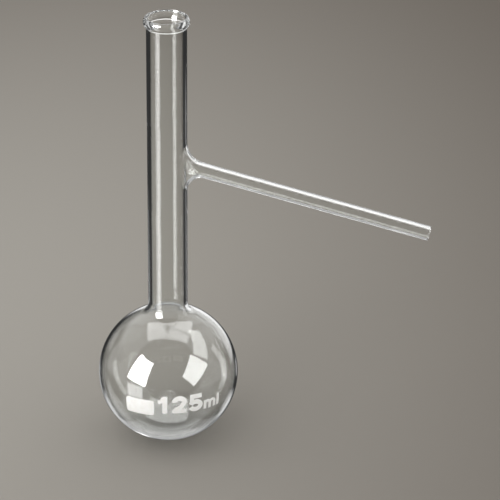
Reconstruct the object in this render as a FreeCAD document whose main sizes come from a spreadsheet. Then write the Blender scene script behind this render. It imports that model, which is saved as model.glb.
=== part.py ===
import FreeCAD, Part
import Sketcher
import math
import os

# Distillation flask: a blown glass bulb with a long straight neck, a rolled
# rim, and a vapour tube that leaves the neck and slopes down.
# Millimetres. The neck axis is +Z, the origin is the lowest point of the bulb
# on that axis, and the vapour tube runs towards +X.

doc = FreeCAD.newDocument("distillation_flask")

# Driving dimensions
sheet = doc.addObject("Spreadsheet::Sheet", "Sizes")
driving = [
    ("bulb_diameter", 69.0),
    ("bulb_wall", 1.2),
    ("total_height", 221.5),
    ("neck_diameter", 19.4),
    ("neck_wall", 1.9),
    ("shoulder_radius", 7.0),
    ("rim_diameter", 22.2),
    ("rim_roll_diameter", 6.7),
    ("rim_root_radius", 0.6),
    ("mouth_diameter", 18.1),
    ("mouth_depth", 4.9),
    ("mouth_straight", 1.9),
    ("mouth_blend_radius", 4.0),
    ("mouth_radius", 0.75),
    ("tube_diameter", 7.1),
    ("tube_wall", 1.05),
    ("tube_reach", 131.4),
    ("tube_root_diameter", 7.7),
    ("tube_root_length", 26.0),
    ("tube_root_height", 148.3),
    ("tube_slope", 15.0),
    ("tube_lip_radius", 0.5),
    ("flare_above", 10.5),
    ("flare_below", 7.0),
]
for row, (alias, value) in enumerate(driving, start=1):
    sheet.set("A%d" % row, alias)
    sheet.set("B%d" % row, str(value))
    sheet.setAlias("B%d" % row, alias)

# Sizes that follow from the driving ones. The rim roll is set so that the
# rounded mouth, and not the cut-away top of the roll, reaches the full height.
derived = [
    ("bulb_radius", "=bulb_diameter / 2"),
    ("hollow_radius", "=bulb_radius - bulb_wall"),
    ("neck_radius", "=neck_diameter / 2"),
    ("bore_radius", "=neck_radius - neck_wall"),
    ("inner_shoulder_radius", "=shoulder_radius + neck_wall"),
    ("roll_radius", "=rim_roll_diameter / 2"),
    ("roll_offset", "=rim_diameter / 2 - roll_radius"),
    ("mouth_bore_radius", "=mouth_diameter / 2"),
    ("mouth_low", "=total_height - mouth_depth"),
    ("mouth_high", "=total_height - mouth_straight"),
    ("mouth_shift", "=mouth_bore_radius + mouth_radius - roll_offset"),
    ("mouth_rise", "=sqrt((roll_radius - mouth_radius)^2 - mouth_shift^2)"),
    ("roll_height", "=total_height - mouth_radius - mouth_rise"),
    ("past_rim", "=total_height + rim_roll_diameter"),
    ("tube_radius", "=tube_diameter / 2"),
    ("tube_bore_radius", "=tube_radius - tube_wall"),
    ("root_radius", "=tube_root_diameter / 2"),
    ("root_bore_radius", "=root_radius - tube_wall"),
    ("bore_reach", "=tube_reach + tube_diameter"),
]
for row, (alias, formula) in enumerate(derived, start=len(driving) + 1):
    sheet.set("A%d" % row, alias)
    sheet.set("B%d" % row, formula)
    sheet.setAlias("B%d" % row, alias)
doc.recompute()


def size(alias):
    return float(getattr(sheet, alias))


def sketch_on(body, role, name):
    planes = [o for o in body.Origin.OriginFeatures if o.Role == role]
    sketch = body.newObject("Sketcher::SketchObject", name)
    sketch.AttachmentSupport = [(planes[0], "")]
    sketch.MapMode = "FlatFace"
    return sketch


def bind(sketch, alias, kind, *where):
    """A dimension of the sketch that follows one cell of the sheet."""
    index = sketch.addConstraint(Sketcher.Constraint(kind, *where, size(alias)))
    sketch.renameConstraint(index, alias)
    sketch.setExpression("Constraints." + alias, "Sizes." + alias)


def half_disc(body, name, alias):
    """Half a disc beside the neck axis, centred at the middle of the bulb."""
    sketch = sketch_on(body, "XZ_Plane", name)
    radius = size(alias)
    middle = size("bulb_radius")
    outward = FreeCAD.Vector(0, 0, 1)
    ring = Part.Circle(FreeCAD.Vector(0, middle, 0), outward, radius)
    quarter = math.pi / 2
    arc = sketch.addGeometry(Part.ArcOfCircle(ring, -quarter, quarter), False)
    top = FreeCAD.Vector(0, middle + radius, 0)
    bottom = FreeCAD.Vector(0, middle - radius, 0)
    chord = sketch.addGeometry(Part.LineSegment(top, bottom), False)
    sketch.addConstraint(Sketcher.Constraint("Coincident", arc, 2, chord, 1))
    sketch.addConstraint(Sketcher.Constraint("Coincident", arc, 1, chord, 2))
    sketch.addConstraint(Sketcher.Constraint("PointOnObject", arc, 3, -2))
    sketch.addConstraint(Sketcher.Constraint("PointOnObject", arc, 2, -2))
    bind(sketch, alias, "Radius", arc)
    index = sketch.addConstraint(Sketcher.Constraint("DistanceY", -1, 1, arc, 3, middle))
    sketch.renameConstraint(index, "middle")
    sketch.setExpression("Constraints.middle", "Sizes.bulb_radius")
    return sketch


def ball(body, name, alias):
    sketch = half_disc(body, name + "Outline", alias)
    feature = body.newObject("PartDesign::Revolution", name)
    feature.Profile = sketch
    feature.ReferenceAxis = (sketch, ["V_Axis"])
    feature.Angle = 360
    return feature


def rod(body, name, height, radius, length):
    """An upright round bar on the neck axis."""
    sketch = sketch_on(body, "XY_Plane", name + "Outline")
    sketch.AttachmentOffset.Base.z = size(height)
    sketch.setExpression("AttachmentOffset.Base.z", "Sizes." + height)
    centre = FreeCAD.Vector(0, 0, 0)
    outward = FreeCAD.Vector(0, 0, 1)
    ring = sketch.addGeometry(Part.Circle(centre, outward, size(radius)), False)
    sketch.addConstraint(Sketcher.Constraint("Coincident", ring, 3, -1, 1))
    bind(sketch, radius, "Radius", ring)
    doc.recompute()
    feature = body.newObject("PartDesign::Pad", name)
    feature.Profile = sketch
    feature.setExpression("Length", length)
    return feature


def closed_outline(sketch, corners):
    """Straight sides from corner to corner and back to the first."""
    places = [FreeCAD.Vector(x, y, 0) for x, y in corners]
    sides = []
    for here, there in zip(places, places[1:] + places[:1]):
        sides.append(sketch.addGeometry(Part.LineSegment(here, there), False))
    for side, following in zip(sides, sides[1:] + sides[:1]):
        sketch.addConstraint(Sketcher.Constraint("Coincident", side, 2, following, 1))
    return sides


def opened_mouth(body, name):
    """The widening of the bore towards the mouth: a cone and a short straight
    stretch, turned about the neck axis."""
    sketch = sketch_on(body, "XZ_Plane", name + "Outline")
    corners = [
        (0, size("mouth_low")),
        (size("bore_radius"), size("mouth_low")),
        (size("mouth_bore_radius"), size("mouth_high")),
        (size("mouth_bore_radius"), size("past_rim")),
        (0, size("past_rim")),
    ]
    floor, cone, wall, top, middle = closed_outline(sketch, corners)
    sketch.addConstraint(Sketcher.Constraint("PointOnObject", floor, 1, -2))
    sketch.addConstraint(Sketcher.Constraint("PointOnObject", top, 2, -2))
    sketch.addConstraint(Sketcher.Constraint("Horizontal", floor))
    sketch.addConstraint(Sketcher.Constraint("Vertical", wall))
    sketch.addConstraint(Sketcher.Constraint("Horizontal", top))
    bind(sketch, "mouth_low", "DistanceY", -1, 1, floor, 1)
    bind(sketch, "bore_radius", "DistanceX", -1, 1, cone, 1)
    bind(sketch, "mouth_bore_radius", "DistanceX", -1, 1, wall, 1)
    bind(sketch, "mouth_high", "DistanceY", -1, 1, wall, 1)
    bind(sketch, "past_rim", "DistanceY", -1, 1, middle, 1)
    doc.recompute()
    feature = body.newObject("PartDesign::Revolution", name)
    feature.Profile = sketch
    feature.ReferenceAxis = (sketch, ["V_Axis"])
    feature.Angle = 360
    return feature


def drawn_tube(body, name, root, radius, reach):
    """A sloping round bar from the neck axis: it is wider at its root, where
    the tube was drawn out of the neck, and straight from there to its end."""
    sketch = sketch_on(body, "XZ_Plane", name + "Outline")
    # in this plane the sketch's Y is the part's Z, and a turn below the level is negative
    inward = FreeCAD.Vector(0, 0, 1)
    slope = FreeCAD.Rotation(inward, -size("tube_slope"))
    start = FreeCAD.Vector(0, size("tube_root_height"), 0)
    sketch.AttachmentOffset = FreeCAD.Placement(start, slope)
    sketch.setExpression("AttachmentOffset.Base.y", "Sizes.tube_root_height")
    sketch.setExpression("AttachmentOffset.Rotation.Angle", "-Sizes.tube_slope")
    corners = [
        (0, 0),
        (0, size(root)),
        (size("tube_root_length"), size(radius)),
        (size(reach), size(radius)),
        (size(reach), 0),
    ]
    root_edge, taper, straight, end, middle = closed_outline(sketch, corners)
    sketch.addConstraint(Sketcher.Constraint("Coincident", root_edge, 1, -1, 1))
    sketch.addConstraint(Sketcher.Constraint("Vertical", root_edge))
    sketch.addConstraint(Sketcher.Constraint("Horizontal", straight))
    sketch.addConstraint(Sketcher.Constraint("Vertical", end))
    sketch.addConstraint(Sketcher.Constraint("Horizontal", middle))
    bind(sketch, root, "DistanceY", root_edge, 1, root_edge, 2)
    bind(sketch, "tube_root_length", "DistanceX", -1, 1, taper, 2)
    bind(sketch, radius, "DistanceY", end, 2, end, 1)
    bind(sketch, reach, "DistanceX", -1, 1, straight, 2)
    doc.recompute()
    feature = body.newObject("PartDesign::Revolution", name)
    feature.Profile = sketch
    feature.ReferenceAxis = (sketch, ["H_Axis"])
    feature.Angle = 360
    return feature


def edge_numbers(shape, belongs):
    edges = enumerate(shape.Edges, start=1)
    found = [n for n, edge in edges if not edge.Degenerated and belongs(edge)]
    if not found:
        raise RuntimeError("no edge to round")
    return found


def blend(body, name, base, belongs, alias):
    """A fillet on the edges of base for which belongs(edge) is true."""
    doc.recompute()
    feature = body.newObject("PartDesign::Fillet", name)
    feature.Base = (base, ["Edge%d" % n for n in edge_numbers(base.Shape, belongs)])
    feature.setExpression("Radius", "Sizes." + alias)
    doc.recompute()
    return feature


def level_ring(radius, low, high):
    """Test for a level circle about the neck axis between two heights."""

    def belongs(edge):
        if not isinstance(edge.Curve, Part.Circle):
            return False
        box = edge.BoundBox
        near = size("neck_wall") / 4
        level = box.ZLength < near and low < box.Center.z < high
        return level and abs(edge.Curve.Radius - radius) < near

    return belongs


def mouth_crease(edge):
    """Whether an edge is one of the two creases of the widened mouth."""
    near = size("neck_wall") / 4
    low = size("mouth_low")
    high = size("mouth_high")
    below_cone = level_ring(size("bore_radius"), low - near, low + near)
    above_cone = level_ring(size("mouth_bore_radius"), high - near, high + near)
    return below_cone(edge) or above_cone(edge)


def tube_meets_neck(neck_radius, root_radius):
    """Test for the curve in which the vapour tube meets the neck."""

    def belongs(edge):
        near = size("tube_wall") / 4
        points = edge.discretize(9)
        on_neck = all(abs(math.hypot(p.x, p.y) - neck_radius) < near for p in points)
        on_side = all(p.x > 0 and abs(p.y) < root_radius + near for p in points)
        return on_neck and on_side and edge.BoundBox.YLength > near

    return belongs


def tube_end(radius):
    """Test for a circle at the open end of the vapour tube."""
    slope = math.radians(size("tube_slope"))
    along = FreeCAD.Vector(math.cos(slope), 0, -math.sin(slope))
    end = FreeCAD.Vector(0, 0, size("tube_root_height")) + along * size("tube_reach")

    def belongs(edge):
        if not isinstance(edge.Curve, Part.Circle):
            return False
        near = size("tube_wall") / 4
        here = (edge.Curve.Center - end).Length < near
        return here and abs(edge.Curve.Radius - radius) < near

    return belongs


def flare(name, base, belongs, above, below):
    """The fused root of the tube: its fillet runs from one radius to another."""
    doc.recompute()
    feature = doc.addObject("Part::Fillet", name)
    feature.Base = base
    rounded = []
    for number in edge_numbers(base.Shape, belongs):
        edge = base.Shape.Edges[number - 1]
        starts_above = edge.firstVertex().Point.z > edge.lastVertex().Point.z
        radii = (above, below) if starts_above else (below, above)
        rounded.append((number, *radii))
    feature.Edges = rounded
    doc.recompute()
    return feature


middle_height = size("bulb_radius")
roll_height = size("roll_height")

# The outside of the glass, as one solid body
outside = doc.addObject("PartDesign::Body", "Outside")
ball(outside, "Bulb", "bulb_radius")
neck_length = "Sizes.roll_height - Sizes.bulb_radius"
neck = rod(outside, "Neck", "bulb_radius", "neck_radius", neck_length)
shoulder_test = level_ring(size("neck_radius"), middle_height, 2 * middle_height)
blend(outside, "Shoulder", neck, shoulder_test, "shoulder_radius")

roll_outline = sketch_on(outside, "XZ_Plane", "RollOutline")
roll_centre = FreeCAD.Vector(size("roll_offset"), roll_height, 0)
roll_circle = Part.Circle(roll_centre, FreeCAD.Vector(0, 0, 1), size("roll_radius"))
roll_ring = roll_outline.addGeometry(roll_circle, False)
bind(roll_outline, "roll_radius", "Radius", roll_ring)
bind(roll_outline, "roll_offset", "DistanceX", -1, 1, roll_ring, 3)
bind(roll_outline, "roll_height", "DistanceY", -1, 1, roll_ring, 3)
roll = outside.newObject("PartDesign::Revolution", "Roll")
roll.Profile = roll_outline
roll.ReferenceAxis = (roll_outline, ["V_Axis"])
roll.Angle = 360
roll_test = level_ring(size("neck_radius"), roll_height - 2 * size("roll_radius"), roll_height)
blend(outside, "RollRoot", roll, roll_test, "rim_root_radius")

drawn_tube(outside, "Tube", "root_radius", "tube_radius", "tube_reach")
outer_curve = tube_meets_neck(size("neck_radius"), size("root_radius"))
above = size("flare_above")
below = size("flare_below")
outer_flare = flare("OutsideFlare", outside, outer_curve, above, below)

# The space inside the glass: hollow bulb, neck bore with its wider mouth, and
# tube bore, each of them running out past the open ends
inside = doc.addObject("PartDesign::Body", "Inside")
ball(inside, "Hollow", "hollow_radius")
bore_length = "Sizes.total_height - Sizes.bulb_radius"
bore = rod(inside, "Bore", "bulb_radius", "bore_radius", bore_length)
inner_test = level_ring(size("bore_radius"), middle_height, 2 * middle_height)
blend(inside, "InnerShoulder", bore, inner_test, "inner_shoulder_radius")
widening = opened_mouth(inside, "Mouth")
blend(inside, "MouthBlend", widening, mouth_crease, "mouth_blend_radius")
drawn_tube(inside, "TubeBore", "root_bore_radius", "tube_bore_radius", "bore_reach")
inner_curve = tube_meets_neck(size("bore_radius"), size("root_bore_radius"))
wall = size("tube_wall")
inner_flare = flare("InsideFlare", inside, inner_curve, above + wall, below + wall)

# The glass between the two
glass = doc.addObject("Part::Cut", "Glass")
glass.Base = outer_flare
glass.Tool = inner_flare
doc.recompute()
if not 0 < glass.Shape.Volume < outer_flare.Shape.Volume:
    raise RuntimeError("the flask is not hollow")

# Fire-polished mouth and tube end
over_straight = size("mouth_high") + size("mouth_radius") / 2
mouth_test = level_ring(size("mouth_bore_radius"), over_straight, size("past_rim"))
mouth_edges = edge_numbers(glass.Shape, mouth_test)
outer_end = edge_numbers(glass.Shape, tube_end(size("tube_radius")))
inner_end = edge_numbers(glass.Shape, tube_end(size("tube_bore_radius")))
mouth_radius = size("mouth_radius")
lip_radius = size("tube_lip_radius")
flask = doc.addObject("Part::Fillet", "Flask")
flask.Label = "flask"
flask.Base = glass
polished = [(number, mouth_radius, mouth_radius) for number in mouth_edges]
polished += [(number, lip_radius, lip_radius) for number in outer_end + inner_end]
flask.Edges = polished
flask.Placement = FreeCAD.Placement()
doc.recompute()

for item in doc.Objects:
    if "Invalid" in item.State or "Error" in item.State:
        raise RuntimeError(item.Label + " failed")
shape = flask.Shape
if shape.isNull() or not shape.isValid() or len(shape.Solids) != 1:
    raise RuntimeError("the flask is not one sound solid")
near_zero = size("bulb_wall") / 20
box = shape.optimalBoundingBox(False)
if abs(box.ZMax - size("total_height")) > near_zero or abs(box.ZMin) > near_zero:
    raise RuntimeError("the flask is not of the stated height")

os.makedirs("parts", exist_ok=True)
shape.exportStep(os.path.join("parts", flask.Label + ".step"))
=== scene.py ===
import math

import bmesh
import bpy
from mathutils import Matrix, Vector


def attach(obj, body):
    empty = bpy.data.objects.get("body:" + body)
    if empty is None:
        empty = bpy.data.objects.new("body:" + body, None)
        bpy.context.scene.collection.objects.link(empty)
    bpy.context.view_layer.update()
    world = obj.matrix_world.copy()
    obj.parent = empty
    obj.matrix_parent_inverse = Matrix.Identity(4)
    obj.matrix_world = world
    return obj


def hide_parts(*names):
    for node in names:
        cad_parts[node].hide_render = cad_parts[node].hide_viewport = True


# A 125 ml distillation flask of blown glass with a fired white capacity mark.
# Sizes are in millimetres and turned to metres where a mesh is made. The neck
# axis is +Z, the bulb's lowest point is the origin, the side tube runs to +X.

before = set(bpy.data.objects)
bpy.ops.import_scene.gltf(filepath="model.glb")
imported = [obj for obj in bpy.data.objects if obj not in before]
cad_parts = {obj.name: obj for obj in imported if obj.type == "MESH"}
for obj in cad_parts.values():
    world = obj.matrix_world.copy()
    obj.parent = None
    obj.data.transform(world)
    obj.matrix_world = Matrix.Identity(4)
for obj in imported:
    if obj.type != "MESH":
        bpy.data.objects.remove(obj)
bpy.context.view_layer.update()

MM = 0.001

BULB_RADIUS = 34.5
HOLLOW_RADIUS = 33.3
NECK_RADIUS = 9.7
BORE_RADIUS = 7.8
SHOULDER_RADIUS = 7.0
NECK_WALL = NECK_RADIUS - BORE_RADIUS
HEIGHT = 221.5
ROLL_RADIUS = 3.35
ROLL_OFFSET = 7.75
RIM_ROOT_RADIUS = 0.6
MOUTH_RADIUS = 0.75
MOUTH_BORE_RADIUS = 9.05
MOUTH_DEPTH = 4.9
MOUTH_STRAIGHT = 1.9
MOUTH_BLEND = 4.0

TUBE_RADIUS = 3.55
TUBE_BORE_RADIUS = 2.5
TUBE_WALL = TUBE_RADIUS - TUBE_BORE_RADIUS
TUBE_REACH = 131.4
TUBE_ROOT_HEIGHT = 148.3
TUBE_ROOT_LENGTH = 26.0
TUBE_ROOT_EXTRA = 0.3
TUBE_LIP_RADIUS = 0.5
TUBE_SLOPE = math.radians(15.0)
FLARE_ABOVE = 10.5
FLARE_BELOW = 7.0

# The stretch of neck that carries the side tube
ROOT_LOW = 122.0
ROOT_HIGH = 168.0

ROUND = 144       # steps round the neck
SIDE = 48         # steps up each edge of the stretch that carries the tube
RING = 2 * (ROUND + SIDE)
BULB_STEPS = 96
SHOULDER_STEPS = 16
ROLL_STEPS = 28
MOUTH_STEPS = 14
CREASE_STEPS = 8
SPREAD_STEPS = 18 # from the edges of that stretch to the tube's hole
FLARE_STEPS = 20
ROOT_STEPS = 8
LIP_STEPS = 6
STRAIGHT_STEPS = 4
SETTLING = 6      # rounds in which a flare's end and the tube's radius settle
WELD = 0.002      # corners nearer than this become one


# The glass

def arc(middle_r, middle_z, radius, start, end, steps):
    """Points (r, z) on an arc beside the neck axis, angles in degrees."""
    points = []
    for i in range(steps + 1):
        angle = math.radians(start + (end - start) * i / steps)
        points.append((middle_r + radius * math.cos(angle), middle_z + radius * math.sin(angle)))
    return points


def bulb_and_shoulder(bulb, neck, shoulder):
    """Outline from the bottom of the bulb up to the straight neck."""
    middle_r = neck + shoulder
    reach = bulb + shoulder
    rise = math.sqrt(reach ** 2 - middle_r ** 2)
    leaves = math.degrees(math.atan2(rise, middle_r))
    sphere = arc(0.0, BULB_RADIUS, bulb, -90.0, leaves, BULB_STEPS)
    blend = arc(middle_r, BULB_RADIUS + rise, shoulder, leaves + 180.0, 180.0, SHOULDER_STEPS)
    return sphere + blend[1:]


def straight(radius, low, high):
    """Outline of a straight stretch of neck, without its first point."""
    rise = (high - low) / STRAIGHT_STEPS
    return [(radius, low + rise * i) for i in range(1, STRAIGHT_STEPS + 1)]


def rim_outline():
    """Outline from the neck over the rolled rim, round the mouth and down its
    cone to the bore."""
    mouth_r = MOUTH_BORE_RADIUS + MOUTH_RADIUS
    mouth_z = HEIGHT - MOUTH_RADIUS
    roll_z = mouth_z - math.sqrt((ROLL_RADIUS - MOUTH_RADIUS) ** 2 - (mouth_r - ROLL_OFFSET) ** 2)
    root_r = NECK_RADIUS + RIM_ROOT_RADIUS
    root_reach = ROLL_RADIUS + RIM_ROOT_RADIUS
    root_z = roll_z - math.sqrt(root_reach ** 2 - (root_r - ROLL_OFFSET) ** 2)
    meets = math.degrees(math.atan2(root_z - roll_z, root_r - ROLL_OFFSET))
    root = arc(root_r, root_z, RIM_ROOT_RADIUS, 180.0, 180.0 + meets, CREASE_STEPS)
    over = math.degrees(math.atan2(mouth_z - roll_z, mouth_r - ROLL_OFFSET))
    roll = arc(ROLL_OFFSET, roll_z, ROLL_RADIUS, meets, over, ROLL_STEPS)
    mouth = arc(mouth_r, mouth_z, MOUTH_RADIUS, over, 180.0, MOUTH_STEPS)
    # the mouth narrows to the bore down a short cone with rounded creases
    cone = math.atan2(MOUTH_BORE_RADIUS - BORE_RADIUS, MOUTH_DEPTH - MOUTH_STRAIGHT)
    along = MOUTH_BLEND * math.tan(cone / 2)
    turn = math.degrees(cone)
    high = HEIGHT - MOUTH_STRAIGHT + along
    low = HEIGHT - MOUTH_DEPTH - along
    upper = arc(MOUTH_BORE_RADIUS - MOUTH_BLEND, high, MOUTH_BLEND, 0.0, -turn, CREASE_STEPS)
    lower = arc(BORE_RADIUS + MOUTH_BLEND, low, MOUTH_BLEND, 180.0 - turn, 180.0, CREASE_STEPS)
    return root + roll[1:] + mouth[1:] + upper + lower


class Skin:
    """Vertices and faces of the glass, gathered ring by ring."""

    def __init__(self):
        self.places = []
        self.faces = []

    def ring(self, points):
        first = len(self.places)
        self.places.extend(points)
        return list(range(first, len(self.places)))

    def join(self, lower, upper):
        count = len(lower)
        for i in range(count):
            j = (i + 1) % count
            self.faces.append((lower[i], lower[j], upper[j], upper[i]))

    def cap(self, ring, point):
        tip = len(self.places)
        self.places.append(point)
        for i in range(len(ring)):
            self.faces.append((ring[i], ring[(i + 1) % len(ring)], tip))


def neck_ring(radius, height):
    points = []
    for i in range(ROUND):
        angle = math.pi - 2 * math.pi * i / ROUND
        points.append(Vector((radius * math.cos(angle), radius * math.sin(angle), height)))
    return points


def turned(skin, outline):
    """Turns an outline round the neck axis; a first point on the axis is a tip."""
    tip = None
    if outline[0][0] < WELD:
        tip = Vector((0.0, 0.0, outline[0][1]))
        outline = outline[1:]
    rings = [skin.ring(neck_ring(r, z)) for r, z in outline]
    for lower, upper in zip(rings, rings[1:]):
        skin.join(lower, upper)
    if tip is not None:
        skin.cap(rings[0], tip)


ALONG = Vector((math.cos(TUBE_SLOPE), 0.0, -math.sin(TUBE_SLOPE)))
ABOVE = Vector((math.sin(TUBE_SLOPE), 0.0, math.cos(TUBE_SLOPE)))
ACROSS = Vector((0.0, 1.0, 0.0))
ROOT = Vector((0.0, 0.0, TUBE_ROOT_HEIGHT))


def round_tube(angle):
    """The direction out of the tube, at an angle round it."""
    return ACROSS * math.cos(angle) + ABOVE * math.sin(angle)


def on_tube(distance, radius, angle):
    return ROOT + ALONG * distance + round_tube(angle) * radius


def flare_arc(neck, tube, wall, angle):
    """The rolled arc that blends neck and tube on one side of the tube, the
    distance along the tube at which it ends, and the tube's radius there."""
    share = 0.5 + 0.5 * math.sin(angle)
    radius = FLARE_BELOW + (FLARE_ABOVE - FLARE_BELOW) * share + wall
    out = round_tube(angle)
    tube_here = tube
    for _ in range(SETTLING):
        base = ROOT + out * (tube_here + radius)
        # the arc's middle lies this far from the neck axis
        a = ALONG.x ** 2
        b = 2 * base.x * ALONG.x
        c = base.x ** 2 + base.y ** 2 - (neck + radius) ** 2
        distance = (-b + math.sqrt(b * b - 4 * a * c)) / (2 * a)
        tube_here = tube + TUBE_ROOT_EXTRA * (1 - distance / TUBE_ROOT_LENGTH)
    middle = base + ALONG * distance
    level = Vector((middle.x, middle.y, 0.0)).normalized()
    start = -level
    end = -out
    between = start.angle(end)
    points = []
    for i in range(FLARE_STEPS + 1):
        turn = between * i / FLARE_STEPS
        direction = (start * math.sin(between - turn) + end * math.sin(turn)) / math.sin(between)
        points.append(middle + direction * radius)
    return points, distance, tube_here


def side_tube(skin, neck, tube, wall):
    """The stretch of neck with its hole, the flare, the tube and its round lip.
    Returns the ring at the open end."""
    arcs = [flare_arc(neck, tube, wall, 2 * math.pi * i / RING) for i in range(RING)]
    half = SIDE // 2
    edge = []
    for i in range(RING):
        if i <= half:
            place = (math.pi, i / half * 0.5 + 0.5)
        elif i <= half + ROUND:
            place = (math.pi - 2 * math.pi * (i - half) / ROUND, 1.0)
        elif i <= half + ROUND + SIDE:
            place = (-math.pi, 1.0 - (i - half - ROUND) / SIDE)
        elif i <= half + 2 * ROUND + SIDE:
            place = (-math.pi + 2 * math.pi * (i - half - ROUND - SIDE) / ROUND, 0.0)
        else:
            place = (math.pi, (i - half - 2 * ROUND - SIDE) / SIDE)
        edge.append((place[0], ROOT_LOW + (ROOT_HIGH - ROOT_LOW) * place[1]))
    hole = [(math.atan2(a[0][0].y, a[0][0].x), a[0][0].z) for a in arcs]
    rings = []
    for step in range(SPREAD_STEPS, 0, -1):
        # the rings lie closer near the hole
        w = (step / SPREAD_STEPS) ** 1.5
        points = []
        for (turn, z), (hole_turn, hole_z) in zip(edge, hole):
            angle = hole_turn + (turn - hole_turn) * w
            height = hole_z + (z - hole_z) * w
            points.append(Vector((neck * math.cos(angle), neck * math.sin(angle), height)))
        rings.append(skin.ring(points))
    for step in range(FLARE_STEPS + 1):
        rings.append(skin.ring([a[0][step] for a in arcs]))
    for step in range(1, ROOT_STEPS + 1):
        t = step / ROOT_STEPS
        fade = 1 - t * t * (3 - 2 * t)
        points = []
        for i, (_, distance, radius) in enumerate(arcs):
            here = distance + (TUBE_ROOT_LENGTH - distance) * t
            points.append(on_tube(here, tube + (radius - tube) * fade, 2 * math.pi * i / RING))
        rings.append(skin.ring(points))
    lip = TUBE_LIP_RADIUS
    part = (TUBE_REACH - lip - TUBE_ROOT_LENGTH) / STRAIGHT_STEPS
    rows = [(TUBE_ROOT_LENGTH + part * k, tube) for k in range(1, STRAIGHT_STEPS + 1)]
    # at the lip the outside rounds inwards and the bore outwards
    side = 1 if wall == 0 else -1
    for k in range(1, LIP_STEPS + 1):
        turn = math.pi / 2 * k / LIP_STEPS
        rows.append((TUBE_REACH - lip + lip * math.sin(turn), tube - side * lip * (1 - math.cos(turn))))
    for distance, radius in rows:
        points = [on_tube(distance, radius, 2 * math.pi * i / RING) for i in range(RING)]
        rings.append(skin.ring(points))
    for outer, inner in zip(rings, rings[1:]):
        skin.join(outer, inner)
    return rings[-1]


def blow_glass():
    """The whole flask as one closed skin: outside, rim, inside and tube."""
    skin = Skin()
    outside = bulb_and_shoulder(BULB_RADIUS, NECK_RADIUS, SHOULDER_RADIUS)
    turned(skin, outside + straight(NECK_RADIUS, outside[-1][1], ROOT_LOW))
    rim = rim_outline()
    upper = [(NECK_RADIUS, ROOT_HIGH)] + straight(NECK_RADIUS, ROOT_HIGH, rim[0][1])
    down = straight(BORE_RADIUS, rim[-1][1], ROOT_HIGH)
    turned(skin, upper + rim[1:] + down)
    inside = bulb_and_shoulder(HOLLOW_RADIUS, BORE_RADIUS, SHOULDER_RADIUS + NECK_WALL)
    turned(skin, inside + straight(BORE_RADIUS, inside[-1][1], ROOT_LOW))
    outer_end = side_tube(skin, NECK_RADIUS, TUBE_RADIUS, 0.0)
    inner_end = side_tube(skin, BORE_RADIUS, TUBE_BORE_RADIUS, TUBE_WALL)
    skin.join(outer_end, inner_end)

    mesh = bpy.data.meshes.new("flask_glass")
    shape = bmesh.new()
    corners = [shape.verts.new(place * MM) for place in skin.places]
    for face in skin.faces:
        shape.faces.new([corners[i] for i in face])
    bmesh.ops.remove_doubles(shape, verts=shape.verts, dist=WELD * MM)
    bmesh.ops.recalc_face_normals(shape, faces=shape.faces)
    shape.to_mesh(mesh)
    shape.free()
    mesh.polygons.foreach_set("use_smooth", [True] * len(mesh.polygons))
    piece = bpy.data.objects.new("flask_glass", mesh)
    bpy.context.scene.collection.objects.link(piece)
    return piece


# The fired enamel

ENAMEL_PROUD = 0.06
ENAMEL_SUNK = 0.04
EDGE_SHARE = 0.4  # of ENAMEL_PROUD, where the print thins at its edges
BASELINE = -6.05
PRINT_STEP = 0.4  # the longest step along a stroke
# where the corners of a stroke lie across it, in shares of its width
ACROSS_STROKE = (-0.5, -0.46, -0.25, 0.0, 0.25, 0.46, 0.5)
SPOT_ROWS = 32
SPOT_COLUMNS = 40
SPOT_RIM = 0.05   # the narrow first and last row
SPOT_RIM_SHARE = 0.004


def on_bulb(x, y, proud):
    """A point over the bulb's front, x and y measured along the glass."""
    longitude = x / BULB_RADIUS
    latitude = y / BULB_RADIUS
    radius = BULB_RADIUS + proud
    flat = radius * math.cos(latitude)
    return Vector((
        flat * math.sin(longitude),
        -flat * math.cos(longitude),
        BULB_RADIUS + radius * math.sin(latitude),
    ))


def lay_enamel(shape, grid):
    """A thin layer of print over a grid of points, with softened edges."""
    rows = len(grid)
    columns = len(grid[0])
    top = []
    bottom = []
    for i, row in enumerate(grid):
        top.append([])
        bottom.append([])
        for j, (x, y) in enumerate(row):
            border = i in (0, rows - 1) or j in (0, columns - 1)
            proud = ENAMEL_PROUD * (EDGE_SHARE if border else 1.0)
            top[-1].append(shape.verts.new(on_bulb(x, y, proud) * MM))
            bottom[-1].append(shape.verts.new(on_bulb(x, y, -ENAMEL_SUNK) * MM))
    for i in range(rows - 1):
        for j in range(columns - 1):
            shape.faces.new((top[i][j], top[i][j + 1], top[i + 1][j + 1], top[i + 1][j]))
            shape.faces.new((bottom[i][j], bottom[i + 1][j], bottom[i + 1][j + 1], bottom[i][j + 1]))
    for i in range(rows - 1):
        for j in (0, columns - 1):
            shape.faces.new((top[i][j], top[i + 1][j], bottom[i + 1][j], bottom[i][j]))
    for j in range(columns - 1):
        for i in (0, rows - 1):
            shape.faces.new((top[i][j], top[i][j + 1], bottom[i][j + 1], bottom[i][j]))


def stroke(shape, points, width, start_width=None):
    """A printed stroke of the given width along points, cut square at its ends."""
    path = [Vector(p).to_2d() for p in points]
    dense = [path[0]]
    for a, b in zip(path, path[1:]):
        steps = max(1, math.ceil((b - a).length / PRINT_STEP))
        dense += [a.lerp(b, k / steps) for k in range(1, steps + 1)]
    grid = []
    for i, here in enumerate(dense):
        ahead = (dense[min(i + 1, len(dense) - 1)] - dense[max(i - 1, 0)]).normalized()
        aside = Vector((-ahead.y, ahead.x))
        share = i / (len(dense) - 1)
        wide = width if start_width is None else start_width + (width - start_width) * share
        row = []
        for offset in ACROSS_STROKE:
            place = here + aside * wide * offset
            row.append((place.x, place.y + BASELINE))
        grid.append(row)
    lay_enamel(shape, grid)


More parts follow.
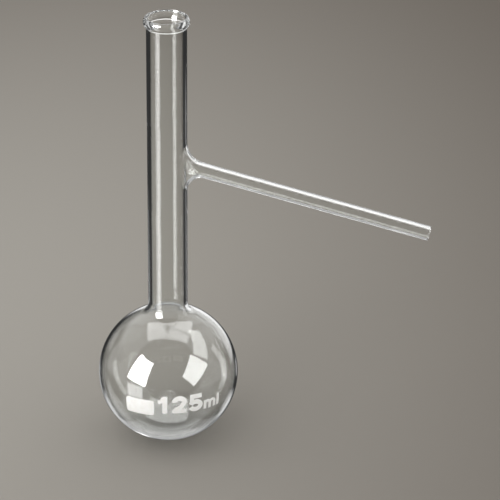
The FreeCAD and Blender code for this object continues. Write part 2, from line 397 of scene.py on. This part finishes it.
def bow(x, y, wide, tall, start, end, steps=24):
    """Points on an oval bow, angles in degrees."""
    points = []
    for i in range(steps + 1):
        angle = math.radians(start + (end - start) * i / steps)
        points.append((x + wide * math.cos(angle), y + tall * math.sin(angle)))
    return points


def enamel_piece(name, shape):
    bmesh.ops.recalc_face_normals(shape, faces=shape.faces)
    mesh = bpy.data.meshes.new(name)
    shape.to_mesh(mesh)
    shape.free()
    piece = bpy.data.objects.new(name, mesh)
    bpy.context.scene.collection.objects.link(piece)
    return piece


def print_capacity():
    """The capacity in plain numbers with its unit."""
    shape = bmesh.new()
    heavy = 2.5
    stroke(shape, [(1.45, 0.0), (1.45, 9.5)], heavy)
    stroke(shape, [(-1.95, 6.3), (-0.9, 6.45), (0.0, 7.2), (0.6, 8.6)], 1.7, 2.0)
    stroke(shape, bow(8.65, 6.35, 2.5, 1.95, 185, -25) + [(9.4, 3.6), (6.3, 1.5)], heavy)
    stroke(shape, [(5.05, 1.15), (12.35, 1.15)], 2.3)
    stroke(shape, [(14.3, 8.35), (20.2, 8.35)], 2.3)
    stroke(shape, [(15.1, 9.4), (14.75, 4.3)], 2.1)
    stroke(shape, bow(16.8, 3.35, 2.65, 2.1, 160, -160), heavy)
    light = 1.5
    stroke(shape, [(22.15, 0.0), (22.15, 5.0)], light)
    for left in (22.15, 24.95):
        arch = bow(left + 1.4, 3.1, 1.4, 1.25, 180, 0, 12)
        stroke(shape, arch + [(left + 2.8, 0.0)], light)
    stroke(shape, [(30.0, 0.0), (30.0, 6.6)], 1.7)
    return enamel_piece("capacity_mark", shape)


def print_spot():
    """The blank spot that takes a pencil."""
    left, right, low, high, corner = -18.85, -3.95, -7.6, 0.9, 1.3
    first = low + SPOT_RIM
    tall = high - low - 2 * SPOT_RIM
    heights = [low] + [first + tall * k / SPOT_ROWS for k in range(SPOT_ROWS + 1)] + [high]
    inner = [k / SPOT_COLUMNS for k in range(1, SPOT_COLUMNS)]
    shares = [0.0, SPOT_RIM_SHARE] + inner + [1.0 - SPOT_RIM_SHARE, 1.0]
    grid = []
    for y in heights:
        inset = 0.0
        near = min(y - low, high - y)
        if near < corner:
            inset = corner - math.sqrt(corner ** 2 - (corner - near) ** 2)
        a = left + inset
        b = right - inset
        grid.append([(a + (b - a) * s, y) for s in shares])
    shape = bmesh.new()
    lay_enamel(shape, grid)
    return enamel_piece("marking_spot", shape)


# Materials

def linear(hex_code):
    """An sRGB hex colour as linear red, green, blue and full alpha."""
    values = [int(hex_code[i:i + 2], 16) / 255 for i in (1, 3, 5)]
    return tuple(v / 12.92 if v <= 0.04045 else ((v + 0.055) / 1.055) ** 2.4 for v in values) + (1.0,)


def node(tree, kind, links=None, **settings):
    """Adds a node; links maps its input sockets to outputs or plain values."""
    made = tree.nodes.new(kind)
    for key, value in settings.items():
        setattr(made, key, value)
    for key, value in (links or {}).items():
        socket = made.inputs[key]
        if isinstance(value, bpy.types.NodeSocket):
            tree.links.new(value, socket)
        else:
            socket.default_value = value
    return made


def calc(tree, operation, *values):
    """The output of a Math node."""
    return node(tree, "ShaderNodeMath", dict(enumerate(values)), operation=operation).outputs[0]


def new_material(name):
    material = bpy.data.materials.new(name)
    material.use_nodes = True
    material.node_tree.nodes.clear()
    return material


def finish_material(material, shader):
    node(material.node_tree, "ShaderNodeOutputMaterial", {"Surface": shader})


def blown_borosilicate():
    """Borosilicate glass, blown and fire-polished: clear, hard bright edges,
    and a slow swim in its reflections where the wall was worked in the flame."""
    material = new_material("borosilicate_glass_blown")
    tree = material.node_tree
    place = node(tree, "ShaderNodeTexCoord")
    # the flame leaves ripples some 14 mm apart
    ripple = node(tree, "ShaderNodeTexNoise", {
        "Vector": place.outputs["Object"], "Scale": 1 / 0.014, "Detail": 1.0, "Roughness": 0.4,
    })
    swim = node(tree, "ShaderNodeBump", {
        "Height": ripple.outputs["Fac"], "Strength": 0.12, "Distance": 0.00006,
    })
    glass = node(tree, "ShaderNodeBsdfPrincipled", {
        "Base Color": linear("#FEFFFE"), "Roughness": 0.0, "IOR": 1.474,
        "Transmission Weight": 1.0, "Normal": swim.outputs["Normal"],
    })
    finish_material(material, glass.outputs["BSDF"])
    return material


def fired_enamel():
    """White enamel, screen-printed and fired on: chalky white with a low sheen,
    a fine mesh of grain and slightly thin, warmer patches."""
    material = new_material("white_enamel_fired")
    tree = material.node_tree
    place = node(tree, "ShaderNodeTexCoord")
    # grains of frit about 0.15 mm across
    grain = node(tree, "ShaderNodeTexNoise", {
        "Vector": place.outputs["Object"], "Scale": 1 / 0.00015, "Detail": 2.0,
    })
    # patches of thinner print about 3 mm across
    patch = node(tree, "ShaderNodeTexNoise", {
        "Vector": place.outputs["Object"], "Scale": 1 / 0.003, "Detail": 2.0,
    })
    tone = node(tree, "ShaderNodeValToRGB", {"Fac": patch.outputs["Fac"]})
    tone.color_ramp.elements[0].position = 0.3
    tone.color_ramp.elements[0].color = linear("#F6F5F1")
    tone.color_ramp.elements[1].position = 0.7
    tone.color_ramp.elements[1].color = linear("#FFFFFD")
    sheen = node(tree, "ShaderNodeMapRange", {
        "Value": grain.outputs["Fac"], "To Min": 0.38, "To Max": 0.55,
    })
    relief = node(tree, "ShaderNodeBump", {
        "Height": grain.outputs["Fac"], "Strength": 0.5, "Distance": 0.00001,
    })
    enamel = node(tree, "ShaderNodeBsdfPrincipled", {
        "Base Color": tone.outputs["Color"], "Roughness": sheen.outputs["Result"],
        "IOR": 1.5, "Normal": relief.outputs["Normal"],
    })
    finish_material(material, enamel.outputs["BSDF"])
    return material


# Stage, light and camera

# the floor's colours paint light and shade: the lit middle of a painted pool of light round the flask,
# and the painted shade where that light falls off
FLOOR_PAINTED_LIGHT = "#A09C95"
FLOOR_PAINTED_SHADE = "#6A645D"
BACKDROP = "#ECEAE7"
FLOOR_REACH = 6.0           # metres, half its side
# the pool of light painted into the floor's colour, in metres: its middle, and how far it reaches
PAINTED_POOL_MIDDLE = (-0.13, 0.13)
PAINTED_POOL_REACH = (1.0, 1.9)
# how near the painted pool's middle, 1 in it and 0 at its reach, the painted
# shade is at its darkest, the board is as light as the backdrop, and it begins and ends to thin out
PAINTED_SHADE_DARKEST = 0.5
LIGHTEST = 0.3
THINS_FROM = 0.42
THINS_TO = 0.24


def lay_floor():
    """A plain board with light and shade painted into its colour: a painted pool of
    light round the flask fades to painted shade to the right and behind, and past that the board thins
    out into the white backdrop. What the glass mirrors comes from the studio round it, so mirrored rays
    pass."""
    mesh = bpy.data.meshes.new("floor")
    far = FLOOR_REACH
    corners = [(-far, -far, 0), (far, -far, 0), (far, far, 0), (-far, far, 0)]
    mesh.from_pydata(corners, [], [(0, 1, 2, 3)])
    floor = bpy.data.objects.new("floor", mesh)
    bpy.context.scene.collection.objects.link(floor)
    material = new_material("matt_board_with_painted_light")
    tree = material.node_tree
    place = node(tree, "ShaderNodeTexCoord")
    wide, deep = PAINTED_POOL_REACH
    painted_pool = node(tree, "ShaderNodeMapping", {
        "Vector": place.outputs["Object"], "Scale": (1 / wide, 1 / deep, 1.0),
        "Location": (-PAINTED_POOL_MIDDLE[0] / wide, -PAINTED_POOL_MIDDLE[1] / deep, 0.0),
    })
    fade = node(tree, "ShaderNodeTexGradient", {0: painted_pool.outputs[0]}, gradient_type="SPHERICAL")
    # the ramp paints light and shade into the board: painted light in the middle of the pool, painted
    # shade further out, then the backdrop's white
    tone = node(tree, "ShaderNodeValToRGB", {"Fac": fade.outputs["Fac"]})
    tone.color_ramp.interpolation = "EASE"
    tone.color_ramp.elements[0].position = LIGHTEST
    tone.color_ramp.elements[0].color = linear(BACKDROP)
    tone.color_ramp.elements[1].color = linear(FLOOR_PAINTED_LIGHT)
    tone.color_ramp.elements.new(PAINTED_SHADE_DARKEST).color = linear(FLOOR_PAINTED_SHADE)
    path = node(tree, "ShaderNodeLightPath")
    mirrored = calc(tree, "GREATER_THAN", path.outputs["Glossy Depth"], 0.5)
    board = node(tree, "ShaderNodeBsdfDiffuse", {"Color": tone.outputs["Color"]})
    clear = node(tree, "ShaderNodeBsdfTransparent")
    far_off = node(tree, "ShaderNodeMapRange", {
        "Value": fade.outputs["Fac"], "From Min": THINS_FROM, "From Max": THINS_TO,
    }, interpolation_type="SMOOTHSTEP")
    passing = calc(tree, "MAXIMUM", mirrored, far_off.outputs[0])
    mixed = node(tree, "ShaderNodeMixShader", {
        0: passing, 1: board.outputs[0], 2: clear.outputs[0],
    })
    finish_material(material, mixed.outputs[0])
    mesh.materials.append(material)


def band(tree, value, low, high, soft):
    """1 between low and high, 0 outside, with soft edges."""
    rise = node(tree, "ShaderNodeMapRange", {
        "Value": value, "From Min": low - soft, "From Max": low + soft,
    }, interpolation_type="SMOOTHSTEP")
    fall = node(tree, "ShaderNodeMapRange", {
        "Value": value, "From Min": high - soft, "From Max": high + soft,
        "To Min": 1.0, "To Max": 0.0,
    }, interpolation_type="SMOOTHSTEP")
    return calc(tree, "MULTIPLY", rise.outputs[0], fall.outputs[0])


def lamp_window(tree, towards, centre, half_width, low, high, strength,
                soft=1.5, lean=0.0, tilt=0.0):
    """A soft lamp in the studio, in degrees: centre is its bearing from the
    front towards +X, low and high are heights over the level, lean slants its
    upright edges and tilt its level ones."""
    turned_way = node(tree, "ShaderNodeVectorRotate", {
        "Vector": towards, "Angle": -math.radians(centre),
    }, rotation_type="Z_AXIS")
    parts = node(tree, "ShaderNodeSeparateXYZ", {0: turned_way.outputs[0]})
    front = calc(tree, "MULTIPLY", parts.outputs["Y"], -1.0)
    bearing = calc(tree, "ARCTAN2", parts.outputs["X"], front)
    rise = calc(tree, "ARCSINE", parts.outputs["Z"])
    leaned = calc(tree, "MULTIPLY_ADD", rise, -lean, bearing)
    tilted = calc(tree, "MULTIPLY_ADD", bearing, tilt, rise)
    wide = math.radians(half_width)
    soft = math.radians(soft)
    across = band(tree, leaned, -wide, wide, soft)
    upright = band(tree, tilted, math.radians(low), math.radians(high), soft)
    return calc(tree, "MULTIPLY", calc(tree, "MULTIPLY", across, upright), strength)


# The edges of the level panel, per metre of its height over the flask
PANEL_SIDE = 0.57
PANEL_FRONT = -0.15
PANEL_BACK = 0.9
PANEL_SOFT = 0.04
NEARLY_LEVEL = 0.05


def level_panel(tree, parts, height, strength):
    """A level panel over the flask, or its image in the table when the height
    is turned round."""
    side = calc(tree, "DIVIDE", parts.outputs["X"], height)
    ahead = calc(tree, "DIVIDE", parts.outputs["Y"], height)
    across = band(tree, side, -PANEL_SIDE, PANEL_SIDE, PANEL_SOFT)
    along = band(tree, ahead, PANEL_FRONT, PANEL_BACK, PANEL_SOFT)
    shape = calc(tree, "MULTIPLY", across, along)
    facing = calc(tree, "GREATER_THAN", height, NEARLY_LEVEL)
    return calc(tree, "MULTIPLY", calc(tree, "MULTIPLY", shape, facing), strength)


EVEN_LIGHT = (0.9, 0.9, 0.9, 1.0)   # what lights the matt surfaces
DARK_STUDIO = 0.03
CEILING = 0.25
# Sines of the heights at which the backdrop ends; no ray goes over the zenith
BACKDROP_TOP = 0.26
BACKDROP_SOFT = 0.03
ZENITH = 1.2


def light_studio():
    """Even light for matt surfaces, a plain backdrop, and round the flask a
    dim studio with large soft lamps, which only mirrored rays see."""
    world = bpy.data.worlds.new("studio")
    bpy.context.scene.world = world
    world.use_nodes = True
    tree = world.node_tree
    tree.nodes.clear()
    towards = node(tree, "ShaderNodeTexCoord").outputs["Generated"]
    parts = node(tree, "ShaderNodeSeparateXYZ", {0: towards})

    up = parts.outputs["Z"]
    down = calc(tree, "MULTIPLY", up, -1.0)
    panel = level_panel(tree, parts, up, 3.2)
    lamps = [
        # the tall softbox to the left, and its image in the table
        lamp_window(tree, towards, -48.4, 16.6, -1.5, 39.0, 45.0, lean=0.17, tilt=0.15),
        lamp_window(tree, towards, -51.0, 13.5, -50.0, -6.0, 5.0),
        # the pale room: dim behind the camera, lighter over the sides and the back
        lamp_window(tree, towards, 0.0, 60.0, -12.0, 100.0, 0.14, soft=8.0),
        lamp_window(tree, towards, 180.0, 112.0, 18.0, 100.0, 0.9, soft=6.0),
        # a narrow lamp to the right
        lamp_window(tree, towards, 111.0, 5.5, -19.0, 24.0, 2.0),
        # the backdrop, and the lit table in front of it
        lamp_window(tree, towards, 166.0, 30.0, -14.0, 15.0, 1.0, soft=3.0),
        lamp_window(tree, towards, -160.0, 7.0, -31.0, -24.5, 0.45, soft=1.0),
        lamp_window(tree, towards, 162.0, 4.0, -27.0, -21.8, 0.45, soft=0.7),
        lamp_window(tree, towards, -166.5, 2.4, -43.5, -40.0, 2.5, soft=1.0),
        lamp_window(tree, towards, 182.0, 16.0, -50.0, -34.0, 0.25, soft=3.0),
        lamp_window(tree, towards, 148.0, 15.0, -44.0, -33.0, 0.8, soft=3.0),
        lamp_window(tree, towards, -148.0, 15.0, -44.0, -33.0, 0.6, soft=3.0),
        # pale walls to both sides, over and under what the neck's edges mirror
        lamp_window(tree, towards, -92.0, 26.0, -12.0, 18.0, 0.5, soft=3.0),
        lamp_window(tree, towards, 84.0, 26.0, -12.0, 18.0, 0.5, soft=3.0),
        lamp_window(tree, towards, -92.0, 26.0, -55.0, -34.0, 0.3, soft=4.0),
        lamp_window(tree, towards, 84.0, 26.0, -55.0, -34.0, 0.3, soft=4.0),
        panel,
        level_panel(tree, parts, down, 0.45),
    ]
    total = DARK_STUDIO
    for lit in lamps:
        total = calc(tree, "ADD", lit, total)
    path = node(tree, "ShaderNodeLightPath").outputs
    # rays that a surface bends far upwards leave the backdrop and meet the panel
    height = band(tree, up, BACKDROP_TOP, ZENITH, BACKDROP_SOFT)
    bent = calc(tree, "MULTIPLY", height, path["Is Transmission Ray"])
    overhead = calc(tree, "ADD", panel, CEILING)
    through = node(tree, "ShaderNodeMix", {
        0: bent, 6: linear(BACKDROP), 7: overhead,
    }, data_type="RGBA")
    mirrored = calc(tree, "GREATER_THAN", path["Glossy Depth"], 0.5)
    by_eye = node(tree, "ShaderNodeMix", {
        0: mirrored, 6: through.outputs[2], 7: total,
    }, data_type="RGBA")
    clear = calc(tree, "MAXIMUM", path["Is Camera Ray"], path["Is Transmission Ray"])
    seen = calc(tree, "MAXIMUM", clear, path["Is Glossy Ray"])
    # light on matt surfaces stays even, also where it comes through the glass
    first = calc(tree, "LESS_THAN", path["Diffuse Depth"], 0.5)
    direct = calc(tree, "MULTIPLY", seen, first)
    whole = node(tree, "ShaderNodeMix", {
        0: direct, 6: EVEN_LIGHT, 7: by_eye.outputs[2],
    }, data_type="RGBA")
    glow = node(tree, "ShaderNodeBackground", {"Color": whole.outputs[2], "Strength": 1.0})
    node(tree, "ShaderNodeOutputWorld", {"Surface": glow.outputs[0]})


def hang_softbox(name, place, aim, wide, tall, power):
    """A soft lamp for matt surfaces; the glass mirrors the studio's lamps."""
    light = bpy.data.lights.new(name, "AREA")
    light.shape = "RECTANGLE"
    light.size = wide
    light.size_y = tall
    light.energy = power
    lamp = bpy.data.objects.new(name, light)
    lamp.location = place
    lamp.rotation_euler = (Vector(aim) - lamp.location).to_track_quat("-Z", "Y").to_euler()
    lamp.visible_camera = False
    lamp.visible_glossy = False
    lamp.visible_transmission = False
    bpy.context.scene.collection.objects.link(lamp)


# Where the photograph was taken from
CAMERA_DISTANCE = 1400.0
CAMERA_BEARING = math.radians(5.424)
CAMERA_RISE = math.radians(24.109)
CAMERA_ROLL = 0.005
LOOKS_AT_HEIGHT = 125.0
FRAME_PIXELS = 500
FOCAL_PIXELS = 2891.0
# the point looked at is this many pixels off the middle of the frame
ASIDE_PIXELS = 82.3
BELOW_PIXELS = 46.0


def set_camera():
    """A long lens 1.4 m away, 24 degrees above the level, turned a little
    aside so that the flask and its tube fill the frame."""
    camera = bpy.data.cameras.new("camera")
    camera.sensor_width = 36.0
    camera.lens = camera.sensor_width * FOCAL_PIXELS / FRAME_PIXELS
    camera.clip_end = 50.0
    seen = bpy.data.objects.new("camera", camera)
    level = CAMERA_DISTANCE * math.cos(CAMERA_RISE)
    away = Vector((
        level * math.sin(CAMERA_BEARING),
        -level * math.cos(CAMERA_BEARING),
        CAMERA_DISTANCE * math.sin(CAMERA_RISE),
    ))
    place = Vector((0.0, 0.0, LOOKS_AT_HEIGHT)) + away
    aimed = (-away).to_track_quat("-Z", "Y")
    aside = Matrix.Rotation(-math.atan(ASIDE_PIXELS / FOCAL_PIXELS), 4, "Y")
    below = Matrix.Rotation(-math.atan(BELOW_PIXELS / FOCAL_PIXELS), 4, "X")
    roll = Matrix.Rotation(-CAMERA_ROLL, 4, "Z")
    pointed = Matrix.Translation(place * MM) @ aimed.to_matrix().to_4x4()
    seen.matrix_world = pointed @ aside @ below @ roll
    bpy.context.scene.collection.objects.link(seen)
    bpy.context.scene.camera = seen


LIGHT_TURNS = 96


def let_light_through():
    """Light runs round inside the rolled rim many times before it leaves, so
    its paths need more turns than the usual few, or the rim goes black."""
    cycles = bpy.context.scene.cycles
    cycles.max_bounces = LIGHT_TURNS
    cycles.glossy_bounces = LIGHT_TURNS
    cycles.transmission_bounces = LIGHT_TURNS


set_camera()
let_light_through()
lay_floor()
light_studio()
hang_softbox("softbox_above", (-0.7, -0.5, 1.3), (0.0, 0.0, 0.05), wide=1.6, tall=1.4, power=4.0)
hang_softbox("softbox_in_front", (-0.6, -1.2, 0.3), (0.0, 0.0, 0.03), wide=0.8, tall=0.6, power=5.5)

glass_piece = blow_glass()
glass_piece.data.materials.append(blown_borosilicate())
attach(glass_piece, "root")
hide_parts("flask")

enamel = fired_enamel()
for printed in (print_capacity(), print_spot()):
    printed.data.materials.append(enamel)
    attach(printed, "root")

bpy.context.scene.view_settings.view_transform = "Standard"
